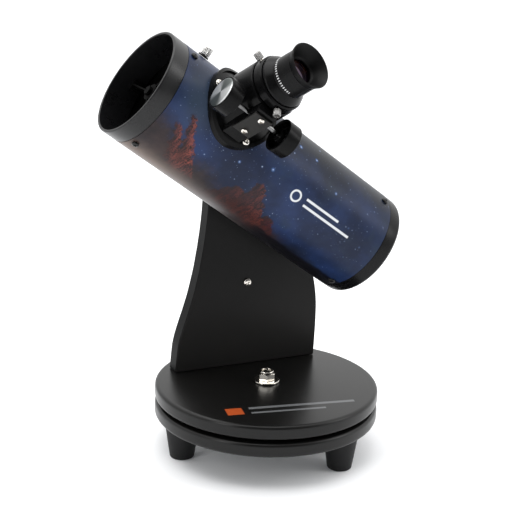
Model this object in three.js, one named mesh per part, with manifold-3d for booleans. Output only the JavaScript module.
// Tabletop single-arm Dobsonian reflector telescope.
// Units are millimetres, +Z is up, the tube's open end points to -X and up, the arm stands at +Y.
import * as THREE from 'three';
import { mergeVertices } from 'three/addons/utils/BufferGeometryUtils.js';
import Module from 'manifold-3d';

const wasm = await Module();
wasm.setup();

// ---------------------------------------------------------------- driving dimensions
const GAP = 0.3;
const BOARD_R = 97;
const BOARD_T = 12.5;
const BOARD_EDGE = 3.6;
const FOOT_H = 29.7;
const FOOT_TOP_R = 14.7;
const FOOT_BOTTOM_R = 10.4;
const FOOT_CIRCLE_R = 78;
const FOOT_ANGLES = [180, -60, 60];
const GROUND_Z = FOOT_H + GAP;
const DISC_GAP = 2.9;
const TURNTABLE_Z = GROUND_Z + BOARD_T + DISC_GAP;
const TURNTABLE_TOP = TURNTABLE_Z + BOARD_T;
const PAD_R = 9;
const PAD_CIRCLE_R = 66;
const CENTRE_BOLT_R = 4;

const ARM_Z = TURNTABLE_TOP + GAP;
const ARM_Y = 43.9;
const ARM_T = 15;
const ARM_SCREW_X = [-42, 42];
const ARM_HEAD_R = 39;

const PIVOT_Y = -12.15;
const PIVOT_Z = 235.4;
const TUBE_TILT = 35.86;
const TUBE_R = 45.8;
const TUBE_WALL = 1.3;
const TUBE_FRONT = 141.2;
const TUBE_REAR = -85.3;
const RING_FRONT = 155.5;
const RING_R = 45.7;
const RING_OPENING_R = 43.4;
const CELL_REAR = -99;
const CELL_ROUNDING = 4.2;
const RING_SCREW_Z = 136.2;
const CELL_SCREW_Z = -79;
const SCREW_ANGLES = [30, 150, 270];
const ARM_FACE_IN_TUBE = ARM_Y - PIVOT_Y;
const HUB_R = 20;
const STUD_R = 3;

const MIRROR_R = 38;
const MIRROR_T = 8;
const MIRROR_FACE_Z = -83.4;
const SECONDARY_R = 10;

const FOCUS_Z = 86.5;
const FOCUS_ANGLE = 50.6;
const FLANGE_R = 32.3;
const FLANGE_TOP_R = 51.6;
const FLANGE_TOP_SHIFT = 3;
const FLANGE_SCREW_SINK = 1.3;
const FLANGE_SCREWS = [[27.3, -1], [-14.5, -23.2], [-13.4, 24.1]];
const BARREL_R = 23;
const BARREL_TOP = 83.4;
const DRAW_R = 18;
const DRAW_BORE_R = 15.95;
const DRAW_BOTTOM = 49;
const COLLAR_R = 22;
const COLLAR_Z = 84;
const COLLAR_TOP = 92;
const PINION_Y = 24.2;
const PINION_Z = 70;
const PINION_SHAFT_R = 1.8;
const SHAFT_END = 33;
const TOOTH_MODULE = 0.6;
const PINION_TEETH = 11;
const COVER_Y = 29.9;
const COVER_T = 1.4;
const KNOB_IN = 24;
const KNOB_OUT = 36;
const KNOB_R = 13.7;
const CAP_R = 12.2;
const REAR_KNOB_INSET = 1.5;
const THUMB_Z = 88;
const THUMB_HEAD_R = 3;
const THUMB_ANGLES = [-26, 99];
const EYEPIECE_SEAT = COLLAR_TOP + GAP;
const EYEPIECE_BARREL_R = 15.6;
const EYEPIECE_BARREL_END = 72;
const FINDER_Z = 122;
const FINDER_ANGLES = [4, -38];
const FINDER_NUT_R = 4.1;

// ---------------------------------------------------------------- materials
function paint(color, roughness, metalness) {
  return new THREE.MeshStandardMaterial({ color, roughness, metalness });
}
const MAT = {
  laminate: paint(0x1c1c1e, 0.45, 0),
  rubber: paint(0x18181a, 0.8, 0),
  nickel: paint(0xcfc9bf, 0.22, 1),
  blackScrew: paint(0x141414, 0.4, 0.8),
  blackPlastic: paint(0x161617, 0.4, 0),
  greyPlastic: paint(0x2b2b2a, 0.5, 0),
  printedSkin: paint(0x2b3a5c, 0.35, 0),
  silverCap: paint(0xb9bcbc, 0.3, 0.9),
  mirror: paint(0xdfe6ea, 0.04, 1),
  glass: new THREE.MeshStandardMaterial({ color: 0x8f7ba8, roughness: 0.03, transparent: true, opacity: 0.35 }),
  pad: paint(0xe6e4dc, 0.6, 0),
};

// ---------------------------------------------------------------- solid helpers
function toSolid(geometry) {
  const bare = geometry.index ? geometry.toNonIndexed() : geometry.clone();
  bare.deleteAttribute('normal');
  bare.deleteAttribute('uv');
  const merged = mergeVertices(bare, 1e-4);
  const source = merged.index.array;
  const tris = [];
  for (let i = 0; i < source.length; i += 3) {
    const [a, b, c] = [source[i], source[i + 1], source[i + 2]];
    if (a !== b && b !== c && a !== c) tris.push(a, b, c);
  }
  const vertProperties = new Float32Array(merged.attributes.position.array);
  const build = (list) => new wasm.Manifold(
    new wasm.Mesh({ numProp: 3, vertProperties, triVerts: new Uint32Array(list) }),
  );
  const solid = build(tris);
  if (solid.volume() > 0) return solid;
  return build(tris.reverse());
}

function toGeometry(solid) {
  const mesh = solid.getMesh();
  const geometry = new THREE.BufferGeometry();
  const positions = new Float32Array(mesh.numVert * 3);
  for (let i = 0; i < mesh.numVert; i += 1) {
    for (let k = 0; k < 3; k += 1) positions[i * 3 + k] = mesh.vertProperties[i * mesh.numProp + k];
  }
  geometry.setAttribute('position', new THREE.BufferAttribute(positions, 3));
  geometry.setIndex(new THREE.BufferAttribute(new Uint32Array(mesh.triVerts), 1));
  const flat = geometry.toNonIndexed();
  flat.computeVertexNormals();
  return flat;
}

// A solid turned about Z from [radius, z] points; the profile starts and ends on the axis, or closes.
function turned(points, segments = 32) {
  const profile = points.map(([r, z]) => new THREE.Vector2(r, z));
  return toSolid(new THREE.LatheGeometry(profile, segments).rotateX(Math.PI / 2));
}

function rod(radius, z0, z1, segments = 16) {
  return turned([[0, z0], [radius, z0], [radius, z1], [0, z1]], segments);
}

function pipe(outer, inner, z0, z1, segments = 32) {
  return turned([[inner, z0], [outer, z0], [outer, z1], [inner, z1], [inner, z0]], segments);
}

function block(x0, x1, y0, y1, z0, z1) {
  const geometry = new THREE.BoxGeometry(x1 - x0, y1 - y0, z1 - z0);
  return toSolid(geometry.translate((x0 + x1) / 2, (y0 + y1) / 2, (z0 + z1) / 2));
}

// A prism along Z from a closed outline of [x, y] points.
function prism(outline, z0, z1, bevel = 0) {
  const shape = new THREE.Shape(outline.map(([x, y]) => new THREE.Vector2(x, y)));
  const geometry = new THREE.ExtrudeGeometry(shape, {
    depth: z1 - z0 - 2 * bevel,
    bevelEnabled: bevel > 0,
    bevelThickness: bevel,
    bevelSize: bevel,
    bevelOffset: -bevel,
    bevelSegments: 1,
  });
  return toSolid(geometry.translate(0, 0, z0 + bevel));
}

function polygon(radius, sides, phase = 0) {
  const points = [];
  for (let i = 0; i < sides; i += 1) {
    const a = THREE.MathUtils.degToRad((i * 360) / sides + phase);
    points.push([radius * Math.cos(a), radius * Math.sin(a)]);
  }
  return points;
}

function place(solid, matrix) {
  const geometry = toGeometry(solid);
  geometry.applyMatrix4(matrix);
  return toSolid(geometry);
}

function shift(x, y, z) {
  return new THREE.Matrix4().makeTranslation(x, y, z);
}

// A frame whose local axes are given by three world vectors.
function frameOf(x, y, z, origin) {
  return new THREE.Matrix4().makeBasis(x, y, z).setPosition(origin);
}

// Local Z turned to point along X, -X, Y or -Y.
const ALONG_X = new THREE.Matrix4().makeRotationY(Math.PI / 2);
const ALONG_Y = new THREE.Matrix4().makeRotationX(-Math.PI / 2);
const ALONG_MINUS_Y = new THREE.Matrix4().makeRotationX(Math.PI / 2);

// Local Z turned to point radially outward at an angle measured from +X toward -Y, at height z.
function radial(angle, z) {
  const a = THREE.MathUtils.degToRad(angle);
  const out = new THREE.Vector3(Math.cos(a), -Math.sin(a), 0);
  const up = new THREE.Vector3(0, 0, 1);
  return frameOf(up, new THREE.Vector3().crossVectors(out, up), out, new THREE.Vector3(0, 0, z));
}

const group = new THREE.Group();
const WORLD = new THREE.Matrix4();
const parts = [];

function add(name, solid, material, matrix = WORLD) {
  parts.push({ name, geometry: toGeometry(place(solid, matrix)), material });
}

// A pan-head screw along local -Z, underside of the head at z = 0; exposed heads get a cross recess.
function panScrew(headR, headH, shankR, length, exposed = true) {
  const body = turned([
    [0, -length], [shankR, -length], [shankR, 0], [headR, 0],
    [headR, headH * 0.35], [headR * 0.65, headH], [0, headH],
  ], exposed ? 14 : 8);
  if (!exposed) return body;
  const w = headR * 0.14;
  const l = headR * 0.55;
  const cross = block(-l, l, -w, w, headH * 0.5, headH + 1).add(block(-w, w, -l, l, headH * 0.5, headH + 1));
  return body.subtract(cross);
}

// ---------------------------------------------------------------- base
function roundedBoard(z) {
  const e = BOARD_EDGE;
  const k = e * 0.293;
  return turned([
    [0, z], [BOARD_R - e, z], [BOARD_R - k, z + k], [BOARD_R, z + e],
    [BOARD_R, z + BOARD_T - e], [BOARD_R - k, z + BOARD_T - k], [BOARD_R - e, z + BOARD_T], [0, z + BOARD_T],
  ], 60);
}

function polar(radius, degrees) {
  const a = THREE.MathUtils.degToRad(degrees);
  return [radius * Math.cos(a), radius * Math.sin(a)];
}

let groundBoard = roundedBoard(GROUND_Z).subtract(rod(CENTRE_BOLT_R + GAP, GROUND_Z - 1, GROUND_Z + BOARD_T + 1));
groundBoard = groundBoard.subtract(rod(9, GROUND_Z - 1, GROUND_Z + 5.6));

FOOT_ANGLES.forEach((angle, i) => {
  const [x, y] = polar(FOOT_CIRCLE_R, angle);
  const foot = turned([
    [2.4, 12], [6, 12], [6, 0], [FOOT_BOTTOM_R - 1, 0], [FOOT_BOTTOM_R, 1], [FOOT_TOP_R, FOOT_H - 1],
    [FOOT_TOP_R - 0.6, FOOT_H], [2.4, FOOT_H], [2.4, 12],
  ], 22);
  add(`foot_${i + 1}`, foot, MAT.rubber, shift(x, y, 0));
  const flip = new THREE.Matrix4().makeRotationX(Math.PI).setPosition(x, y, 11.7);
  add(`foot_screw_${i + 1}`, panScrew(4.5, 2.6, 2, 27, false), MAT.nickel, flip);
  groundBoard = groundBoard.subtract(place(rod(2.4, GROUND_Z - 1, GROUND_Z + 9.6, 10), shift(x, y, 0)));
  const [px, py] = polar(PAD_CIRCLE_R, angle + 60);
  const padBottom = GROUND_Z + BOARD_T + GAP;
  add(`glide_pad_${i + 1}`, rod(PAD_R, padBottom, padBottom + DISC_GAP - 2 * GAP, 20), MAT.pad, shift(px, py, 0));
});
add('ground_board', groundBoard, MAT.laminate);

// Hex-head bolt up through both boards, wide washer and locking nut on top.
const boltHeadTop = GROUND_Z + 5.3;
const boltTop = TURNTABLE_TOP + 9.6;
const azimuthBolt = prism(polygon(7.4, 6), GROUND_Z, boltHeadTop)
  .add(turned([[0, boltHeadTop - 1], [CENTRE_BOLT_R, boltHeadTop - 1], [CENTRE_BOLT_R, boltTop - 0.8],
    [CENTRE_BOLT_R - 0.8, boltTop], [0, boltTop]], 24));
add('azimuth_bolt', azimuthBolt, MAT.nickel);
const washerZ = TURNTABLE_TOP + GAP;
add('azimuth_washer', pipe(11.4, CENTRE_BOLT_R + GAP, washerZ, washerZ + 1.6, 32), MAT.nickel);
const nutZ = washerZ + 1.6 + GAP;
const nutBore = rod(CENTRE_BOLT_R + GAP, nutZ - 1, nutZ + 12);
const nutHex = prism(polygon(7.5, 6, 12), nutZ, nutZ + 5.6)
  .intersect(turned([[0, nutZ - 1], [6.6, nutZ - 1], [8.2, nutZ + 0.8], [8.2, nutZ + 4.4], [6.5, nutZ + 5.8],
    [0, nutZ + 5.8]], 24));
const nutCollar = turned([
  [0, nutZ + 5.2], [6.1, nutZ + 5.2], [6.1, nutZ + 7.4], [5.4, nutZ + 8.1], [0, nutZ + 8.1],
], 24);
add('azimuth_nut', nutHex.add(nutCollar).subtract(nutBore), MAT.nickel);

let turntable = roundedBoard(TURNTABLE_Z).subtract(rod(CENTRE_BOLT_R + GAP, TURNTABLE_Z - 1, TURNTABLE_TOP + 1));
const armMidY = ARM_Y + ARM_T / 2;

// ---------------------------------------------------------------- arm
// Outline in X and Z: a sweeping front edge, a fuller back edge and a round head about the pivot.
const armFront = [
  [-68, ARM_Z], [-66.8, 72], [-65.9, 81], [-64.3, 88.5], [-61.8, 97], [-58.8, 106], [-55.6, 116], [-52.6, 126],
  [-49.9, 137], [-47.4, 148], [-45.3, 160], [-43.4, 172], [-41.8, 184], [-40.5, 197], [-39.6, 211],
];
const armBack = [
  [39.6, 222], [41.5, 207], [45, 192], [49.6, 177], [54.8, 163], [60, 149], [64.4, 136], [67.4, 122],
  [69, 108], [69.3, 92], [69, 76], [68.4, ARM_Z],
];
const armOutline = [...armFront];
for (let i = 0; i <= 18; i += 1) {
  const a = THREE.MathUtils.degToRad(183 - i * 10.5);
  armOutline.push([ARM_HEAD_R * Math.cos(a), PIVOT_Z + ARM_HEAD_R * Math.sin(a)]);
}
armOutline.push(...armBack);
// The prism is drawn in local X and Y, then stood up so that local Y is Z and local Z is -Y.
const stoodUp = new THREE.Matrix4().makeRotationX(Math.PI / 2).setPosition(0, ARM_Y + ARM_T, 0);
let arm = place(prism(armOutline, 0, ARM_T, 0.7), stoodUp);
const pivotHole = place(rod(STUD_R + 0.6, -1, ARM_T + 1), ALONG_Y.clone().setPosition(0, ARM_Y, PIVOT_Z));
arm = arm.subtract(pivotHole);
const faceScrew = ALONG_MINUS_Y.clone().setPosition(-1.3, ARM_Y - GAP, 135.4);
arm = arm.subtract(place(rod(2, -11, 1, 12), faceScrew));
add('arm_face_screw', panScrew(3.6, 2.4, 1.7, 10), MAT.nickel, faceScrew);
ARM_SCREW_X.forEach((x, i) => {
  const countersink = turned([[0, -1], [5, -1], [5, 0.5], [2.8, 3], [2.8, 14], [0, 14]], 14);
  turntable = turntable.subtract(place(countersink, shift(x, armMidY, TURNTABLE_Z)));
  const screw = turned([[0, 0.3], [4.2, 0.3], [4.3, 0.8], [2.4, 2.9], [2.4, 46], [0.6, 50], [0, 50]], 12);
  const slot = block(-2.4, 2.4, -0.6, 0.6, -0.5, 1.2);
  add(`arm_screw_${i + 1}`, screw.subtract(slot), MAT.nickel, shift(x, armMidY, TURNTABLE_Z));
  arm = arm.subtract(place(rod(2.7, ARM_Z - 1, TURNTABLE_Z + 50.4, 12), shift(x, armMidY, 0)));
});
add('turntable', turntable, MAT.laminate);
add('arm', arm, MAT.laminate);

// ---------------------------------------------------------------- tube frame
// Local Z runs forward along the tube, local X is the tube's upper side, local Y is the world's Y.
const tilt = THREE.MathUtils.degToRad(TUBE_TILT);
const tubeForward = new THREE.Vector3(-Math.cos(tilt), 0, Math.sin(tilt));
const tubeUpper = new THREE.Vector3(Math.sin(tilt), 0, Math.cos(tilt));
const TUBE = frameOf(tubeUpper, new THREE.Vector3(0, 1, 0), tubeForward, new THREE.Vector3(0, PIVOT_Y, PIVOT_Z));

function inTube(local) {
  return TUBE.clone().multiply(local);
}

const innerR = TUBE_R - TUBE_WALL;
let tube = pipe(TUBE_R, innerR, TUBE_REAR, TUBE_FRONT, 64);

// Front ring: a rounded lip ahead of the tube and a spigot inside it.
let frontRing = turned([
  [42.6, 130], [innerR - GAP, 130], [innerR - GAP, TUBE_FRONT + GAP], [RING_R, TUBE_FRONT + GAP],
  [RING_R, RING_FRONT - 2], [RING_R - 1, RING_FRONT], [RING_OPENING_R, RING_FRONT], [42.6, 130],
], 56);

const mirrorBack = MIRROR_FACE_Z - MIRROR_T;
// Rear cell: a closed cap with a rounded rear edge, a spigot, and a seat for the mirror.
const cellRim = [90, 67.5, 45, 22.5, 0].map((degrees) => {
  const a = THREE.MathUtils.degToRad(degrees);
  return [RING_R - CELL_ROUNDING * (1 - Math.cos(a)), CELL_REAR + CELL_ROUNDING * (1 - Math.sin(a))];
});
let rearCell = turned([
  [0, CELL_REAR + 1.2], [36, CELL_REAR + 1.2], [37.5, CELL_REAR], ...cellRim, [RING_R, TUBE_REAR - GAP],
  [innerR - GAP, TUBE_REAR - GAP],
  [innerR - GAP, -72], [42, -72], [MIRROR_R + GAP, -81], [MIRROR_R + GAP, mirrorBack - GAP], [0, mirrorBack - GAP],
], 48);

const sagitta = 1.2;
const primary = turned([
  [0, mirrorBack], [MIRROR_R, mirrorBack], [MIRROR_R, MIRROR_FACE_Z - 0.5], [MIRROR_R - 0.5, MIRROR_FACE_Z],
  [27, MIRROR_FACE_Z - sagitta * 0.5], [14, MIRROR_FACE_Z - sagitta * 0.87], [0, MIRROR_FACE_Z - sagitta],
], 44);
add('primary_mirror', primary, MAT.mirror, TUBE);

// Three-vane spider: hub, thin vanes and end tabs that the ring screws pull against the front ring.
const tabOuter = 42.6 - GAP;
let spider = rod(7, 131, 141, 24);
SCREW_ANGLES.forEach((angle) => {
  const vane = place(block(-5, 5, -0.6, 0.6, 5, 41), radial(angle, 136));
  const wedge = place(block(-5, 5, -4.5, 4.5, 36, 46), radial(angle, 136));
  const tab = pipe(tabOuter, tabOuter - 2.6, 131, 141, 60).intersect(wedge);
  spider = spider.add(vane).add(tab);
});
spider = spider.subtract(rod(2.4, 130, 142, 12));

SCREW_ANGLES.forEach((angle, i) => {
  const front = radial(angle, RING_SCREW_Z);
  const rear = radial(angle, CELL_SCREW_Z);
  const frontHole = place(rod(1.9, 37, 48, 10), front);
  tube = tube.subtract(frontHole).subtract(place(rod(1.9, 43, 48, 10), rear));
  frontRing = frontRing.subtract(frontHole);
  spider = spider.subtract(frontHole);
  rearCell = rearCell.subtract(place(rod(1.9, 41, 48, 10), rear));
  const head = shift(0, 0, TUBE_R + GAP);
  const ringScrew = panScrew(2.9, 1.8, 1.5, 7.8);
  const rearScrew = panScrew(2.9, 1.8, 1.5, 3.6, false);
  add(`ring_screw_${i + 1}`, ringScrew, MAT.blackScrew, inTube(front.multiply(head)));
  add(`rear_screw_${i + 1}`, rearScrew, MAT.blackScrew, inTube(rear.multiply(head)));
});
add('front_ring', frontRing, MAT.blackPlastic, TUBE);
add('rear_cell', rearCell, MAT.blackPlastic, TUBE);
add('spider', spider, MAT.blackPlastic, TUBE);

// Secondary: a holder cut at 45 degrees toward the focuser, on a stem through the spider hub.
const facing = radial(FOCUS_ANGLE, FOCUS_Z);
const facingDir = new THREE.Vector3(0, 0, 1).transformDirection(facing);
const mirrorNormal = facingDir.clone().sub(new THREE.Vector3(0, 0, 1)).normalize();
const across = new THREE.Vector3().crossVectors(mirrorNormal, new THREE.Vector3(0, 0, 1)).normalize();
const along = new THREE.Vector3().crossVectors(mirrorNormal, across);
const mirrorPlane = frameOf(across, along, mirrorNormal, new THREE.Vector3(0, 0, FOCUS_Z));
const slanted = rod(SECONDARY_R, 60, 112, 32);
const secondary = slanted.intersect(place(block(-40, 40, -40, 40, -2.4, 0), mirrorPlane));
const holderCut = place(block(-60, 60, -60, 60, -2.4 - GAP, 60), mirrorPlane);
const stem = rod(2, 100, 144, 12).add(prism(polygon(4, 6), 141.3, 144));
const holder = rod(SECONDARY_R, 60, 108, 32).subtract(holderCut).add(stem);
add('secondary_mirror', secondary, MAT.mirror, TUBE);
add('secondary_holder', holder, MAT.blackPlastic, TUBE);

// ---------------------------------------------------------------- altitude pivot
const hubFace = ARM_FACE_IN_TUBE - GAP - 1.6 - GAP;
const hubAxis = ALONG_Y.clone();
const tubeBore = rod(TUBE_R + GAP, -40, 40, 64);
let hub = place(turned([[0, 36], [HUB_R + 3, 36], [HUB_R + 3, 46], [HUB_R, 49], [HUB_R, hubFace - 0.8],
  [HUB_R - 0.8, hubFace], [0, hubFace]], 32), hubAxis).subtract(tubeBore);
hub = hub.subtract(place(rod(STUD_R + GAP, 40, 60, 14), hubAxis));
[-12, 12].forEach((z, i) => {
  const seat = ALONG_MINUS_Y.clone().setPosition(0, innerR - 1.6 - GAP, z);
  const hole = place(rod(2.2, -8.8, 3, 10), seat);
  hub = hub.subtract(hole);
  tube = tube.subtract(hole);
  add(`hub_screw_${i + 1}`, panScrew(3.6, 2.2, 1.8, 8.4, false), MAT.nickel, inTube(seat));
});
add('altitude_hub', hub, MAT.blackPlastic, TUBE);
add('friction_washer', place(pipe(18, STUD_R + 0.6, 0, 1.6, 24), ALONG_Y.clone().setPosition(0, hubFace + GAP, 0)),
  MAT.pad, TUBE);

// Stud screwed into the hub, with a lobed hand knob on the outer side of the arm.
const knobIn = ARM_FACE_IN_TUBE + ARM_T + GAP;
const lobes = [];
for (let i = 0; i < 36; i += 1) {
  const a = (i / 36) * Math.PI * 2;
  const r = 15.2 + 1.5 * Math.cos(6 * a);
  lobes.push([r * Math.cos(a), r * Math.sin(a)]);
}
let tensionKnob = prism(lobes, knobIn + 4, knobIn + 17, 1.4).add(rod(9, knobIn, knobIn + 5, 24));
tensionKnob = tensionKnob.subtract(rod(STUD_R + GAP, knobIn - 1, knobIn + 12, 14));
add('tension_knob', place(tensionKnob, hubAxis), MAT.blackPlastic, TUBE);
add('tension_stud', place(rod(STUD_R, 47, knobIn + 11.6, 14), hubAxis), MAT.nickel, TUBE);

// ---------------------------------------------------------------- focuser
// Focuser frame: local Z out of the tube, local X forward along the tube, local Y toward the pinion.
const FOCUSER_IN_TUBE = frameOf(
  new THREE.Vector3(0, 0, 1),
  new THREE.Vector3().crossVectors(facingDir, new THREE.Vector3(0, 0, 1)),
  facingDir,
  new THREE.Vector3(0, 0, FOCUS_Z),
);
const FOCUSER = inTube(FOCUSER_IN_TUBE);

const crown = ALONG_X.clone().setPosition(0, -FLANGE_TOP_SHIFT, 0);
const flangeTop = place(rod(FLANGE_TOP_R, -60, 60, 64), crown);
const flangeBlank = turned([[0, 25], [FLANGE_R, 25], [FLANGE_R, 60], [0, 60]], 48);
let focuserBody = flangeBlank.intersect(flangeTop);
// Shallow dish between the flange rim and the barrel.
const dishFloor = place(rod(FLANGE_TOP_R - 1.6, -60, 60, 64), crown);
const dish = pipe(FLANGE_R - 2.8, BARREL_R - 0.4, 25, 60, 40).subtract(dishFloor);
focuserBody = focuserBody.subtract(dish);
const barrelOuter = turned([[0, 40], [BARREL_R + 1.4, 40], [BARREL_R, 56], [BARREL_R, BARREL_TOP - 0.8],
  [BARREL_R - 0.8, BARREL_TOP], [0, BARREL_TOP]], 40);
const housing = block(-8.4, 8.4, 12, COVER_Y - COVER_T - GAP, 42, BARREL_TOP);
focuserBody = focuserBody.add(barrelOuter).add(housing);
focuserBody = focuserBody.subtract(place(rod(TUBE_R + GAP, -60, 60, 64), ALONG_X));
focuserBody = focuserBody.subtract(rod(DRAW_R + GAP, 30, 100, 32));
focuserBody = focuserBody.subtract(block(-3.6, 3.6, 15, 21.9, 30, 100));
const pinionLine = ALONG_X.clone().setPosition(0, PINION_Y, PINION_Z);
focuserBody = focuserBody.subtract(place(rod(4.4, -4.4, 4.4, 20), pinionLine));
focuserBody = focuserBody.subtract(block(-4.4, 4.4, PINION_Y, COVER_Y, PINION_Z - 4.4, PINION_Z + 4.4));
focuserBody = focuserBody.subtract(place(rod(PINION_SHAFT_R + GAP, -20, 20, 16), pinionLine));
tube = tube.subtract(place(rod(DRAW_R + 1.5, 30, 60, 32), FOCUSER_IN_TUBE));

FLANGE_SCREWS.forEach(([x, y], i) => {
  const top = Math.sqrt(FLANGE_TOP_R ** 2 - (y + FLANGE_TOP_SHIFT) ** 2) - FLANGE_SCREW_SINK - GAP;
  focuserBody = focuserBody.subtract(place(rod(4, top, 70, 16), shift(x, y, 0)));
  const hole = place(rod(1.9, 20, 70, 10), shift(x, y, 0));
  focuserBody = focuserBody.subtract(hole);
  tube = tube.subtract(place(rod(1.9, 20, 70, 10), FOCUSER_IN_TUBE.clone().multiply(shift(x, y, 0))));
  const seat = FOCUSER.clone().multiply(shift(x, y, top + GAP));
  add(`flange_screw_${i + 1}`, panScrew(3.4, 2.4, 1.5, 9), MAT.nickel, seat);
});
add('tube', tube, MAT.printedSkin, TUBE);

// Pinion cover plate with two screws.
const coverIn = COVER_Y - COVER_T;
let cover = block(-8.4, 8.4, coverIn, COVER_Y, 53.5, 79.6);
[57.8, 76.4].forEach((z, i) => {
  const seat = ALONG_Y.clone().setPosition(0, COVER_Y + GAP, z);
  const hole = place(rod(1.6, -7, 3, 10), seat);
  cover = cover.subtract(hole);
  focuserBody = focuserBody.subtract(hole);
  add(`cover_screw_${i + 1}`, panScrew(2.7, 1.7, 1.2, 6.4), MAT.nickel, FOCUSER.clone().multiply(seat));
});
add('focuser_body', focuserBody, MAT.blackPlastic, FOCUSER);
add('pinion_cover', cover, MAT.greyPlastic, FOCUSER);

// Rack and pinion teeth share one module; at rest a pinion tooth points into a space of the rack.
const pitchR = (TOOTH_MODULE * PINION_TEETH) / 2;
const toothPitch = Math.PI * TOOTH_MODULE;
const gearOutline = [];
for (let i = 0; i < PINION_TEETH; i += 1) {
  const centre = (i / PINION_TEETH) * Math.PI * 2 - Math.PI / 2;
  [[-0.3, 2.6], [-0.12, pitchR + 0.52], [0.12, pitchR + 0.52], [0.3, 2.6]].forEach(([a, r]) => {
    const angle = centre + (a * Math.PI * 2) / PINION_TEETH;
    gearOutline.push([r * Math.cos(angle), r * Math.sin(angle)]);
  });
}
const gear = prism(gearOutline, -4, 4).add(rod(PINION_SHAFT_R, REAR_KNOB_INSET - SHAFT_END, SHAFT_END, 18));
add('pinion_shaft', place(gear, pinionLine), MAT.nickel, FOCUSER);

const drawBore = rod(DRAW_BORE_R, 40, 100, 32);
const collar = turned([
  [0, COLLAR_Z], [COLLAR_R - 0.8, COLLAR_Z], [COLLAR_R, COLLAR_Z + 0.8],
  [COLLAR_R, COLLAR_TOP - 1], [COLLAR_R - 1, COLLAR_TOP], [0, COLLAR_TOP],
], 40);
let drawtube = rod(DRAW_R, DRAW_BOTTOM, COLLAR_Z + 1, 32).add(collar);
const rackBack = PINION_Y - pitchR - 0.95;
let rack = block(-3.2, 3.2, 16.5, rackBack, DRAW_BOTTOM + 0.5, COLLAR_Z + 0.4);
const teethBelow = 11;
const teethAbove = 4;
for (let i = -teethBelow; i <= teethAbove; i += 1) {
  const z = PINION_Z + (i + 0.5) * toothPitch;
  const tooth = [[rackBack - 0.2, z - 0.62], [rackBack - 0.2, z + 0.62], [rackBack + 1.35, z + 0.2],
    [rackBack + 1.35, z - 0.2]];
  // Outline drawn as depth and height, extruded across the rack's width.
  const bar = prism(tooth, -3.2, 3.2);
  const turn = new THREE.Matrix4().makeBasis(
    new THREE.Vector3(0, 1, 0), new THREE.Vector3(0, 0, 1), new THREE.Vector3(1, 0, 0),
  );
  rack = rack.add(place(bar, turn));
}
drawtube = drawtube.add(rack).subtract(drawBore);

// Two knurled thumbscrews clamp the eyepiece barrel through the collar.
function knurled(radius, z0, z1, teeth) {
  const outline = [];
  for (let i = 0; i < teeth * 2; i += 1) {
    const a = (i / (teeth * 2)) * Math.PI * 2;
    const r = i % 2 === 0 ? radius : radius * 0.93;
    outline.push([r * Math.cos(a), r * Math.sin(a)]);
  }
  return prism(outline, z0, z1, 0.35);
}
THUMB_ANGLES.forEach((angle, i) => {
  // Angles run from local X toward local Y.
  const line = radial(-angle, THUMB_Z);
  drawtube = drawtube.subtract(place(rod(2, 10, 30, 12), line));
  const screw = rod(1.6, 16.2, 24, 12).add(knurled(THUMB_HEAD_R, COLLAR_R + 0.8, COLLAR_R + 6.8, 12));
  add(`thumbscrew_${i + 1}`, place(screw, line), MAT.nickel, FOCUSER);
});
add('drawtube', drawtube, MAT.blackPlastic, FOCUSER);

// Focus knobs: hollow cups on the shaft ends, each with a silver inlay cap in its outer face.
const knob = turned([
  [PINION_SHAFT_R + GAP, KNOB_IN], [5.4, KNOB_IN], [5.4, KNOB_IN + 7], [KNOB_R - 2, KNOB_IN + 7],
  [KNOB_R - 2, KNOB_IN], [KNOB_R, KNOB_IN], [KNOB_R, KNOB_OUT - 0.9], [KNOB_R - 0.9, KNOB_OUT],
  [CAP_R + GAP, KNOB_OUT], [CAP_R + GAP, KNOB_OUT - 1.2], [0, KNOB_OUT - 1.2], [0, SHAFT_END + 0.4],
  [PINION_SHAFT_R + GAP, SHAFT_END + 0.4], [PINION_SHAFT_R + GAP, KNOB_IN],
], 28);
const cap = turned([
  [0, KNOB_OUT - 0.9], [CAP_R, KNOB_OUT - 0.9], [CAP_R, KNOB_OUT - 0.1], [CAP_R - 1, KNOB_OUT + 0.3],
  [0, KNOB_OUT + 0.5],
], 32);
const turnedRound = new THREE.Matrix4().makeRotationY(Math.PI);
const rearEnd = pinionLine.clone().multiply(turnedRound).multiply(shift(0, 0, -REAR_KNOB_INSET));
[pinionLine, rearEnd].forEach((line, i) => {
  const side = i === 0 ? 'front' : 'rear';
  add(`focus_knob_${side}`, place(knob, line), MAT.blackPlastic, FOCUSER);
  add(`knob_cap_${side}`, place(cap, line), MAT.silverCap, FOCUSER);
});

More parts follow.
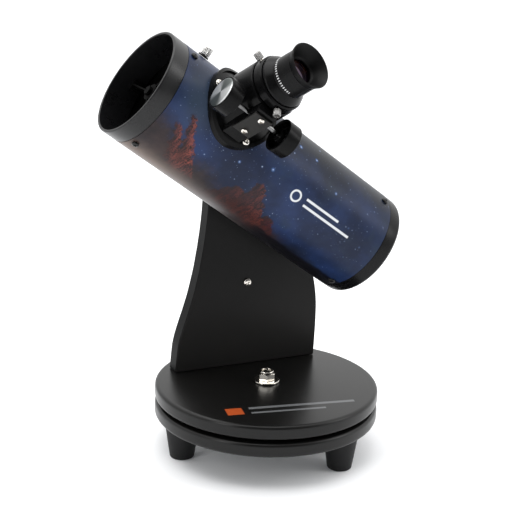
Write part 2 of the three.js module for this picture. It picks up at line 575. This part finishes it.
// ---------------------------------------------------------------- eyepiece
const seatZ = EYEPIECE_SEAT;
const eyepiece = turned([
  [EYEPIECE_BARREL_R, EYEPIECE_BARREL_END], [EYEPIECE_BARREL_R, seatZ],
  [19.9, seatZ], [20.6, seatZ + 0.7], [20.4, 95.8], [18.6, 102.4], [18, 103.1], [16.8, 103.4], [16.2, 116.4],
  [14.6, 116.4], [14.6, 110.7], [10.4, 110.7], [10.4, 108.4], [8.6, 108.4], [8.6, 106], [13.4, 101],
  [13.4, EYEPIECE_BARREL_END], [EYEPIECE_BARREL_R, EYEPIECE_BARREL_END],
], 32);
add('eyepiece_body', eyepiece, MAT.blackPlastic, FOCUSER);
const eyecup = turned([
  [9.8, 111], [14.3, 111], [14.3, 116.7], [16.3, 116.7], [16.8, 118], [18.2, 121.8], [17.8, 122.5],
  [17, 121.7], [15.3, 119.3], [13.4, 116.6], [11.2, 113], [9.8, 112], [9.8, 111],
], 32);
add('eyecup', eyecup, MAT.rubber, FOCUSER);
const eyeLens = turned([[0, 108.7], [10.1, 108.7], [10.1, 109.6], [7, 110.1], [0, 110.5]], 28);
add('eye_lens', eyeLens, MAT.glass, FOCUSER);
const fieldLens = turned([[0, 79.4], [6, 79.6], [13, 80.6], [13, 82.6], [6, 83.8], [0, 84]], 24);
add('field_lens', fieldLens, MAT.glass, FOCUSER);

// ---------------------------------------------------------------- finder posts
FINDER_ANGLES.forEach((angle, i) => {
  const line = inTube(radial(angle, FINDER_Z));
  const washer = rod(FINDER_NUT_R + 0.4, TUBE_R + GAP + 0.1, TUBE_R + 1.7, 24);
  const stud = rod(2, TUBE_R + 1, TUBE_R + 9.6, 12);
  add(`finder_post_${i + 1}`, washer.add(stud), MAT.blackScrew, line);
  const nut = knurled(FINDER_NUT_R, TUBE_R + 2, TUBE_R + 9, 14).subtract(rod(2 + GAP, TUBE_R, TUBE_R + 20, 12));
  add(`finder_nut_${i + 1}`, nut, MAT.nickel, line);
});

// ---------------------------------------------------------------- origin at the bottom centre of the whole
const bounds = new THREE.Box3();
parts.forEach(({ geometry }) => {
  geometry.computeBoundingBox();
  bounds.union(geometry.boundingBox);
});
const centre = bounds.getCenter(new THREE.Vector3());
parts.forEach(({ name, geometry, material }) => {
  geometry.translate(-centre.x, -centre.y, -bounds.min.z);
  const mesh = new THREE.Mesh(geometry, material);
  mesh.name = name;
  group.add(mesh);
});

export default group;
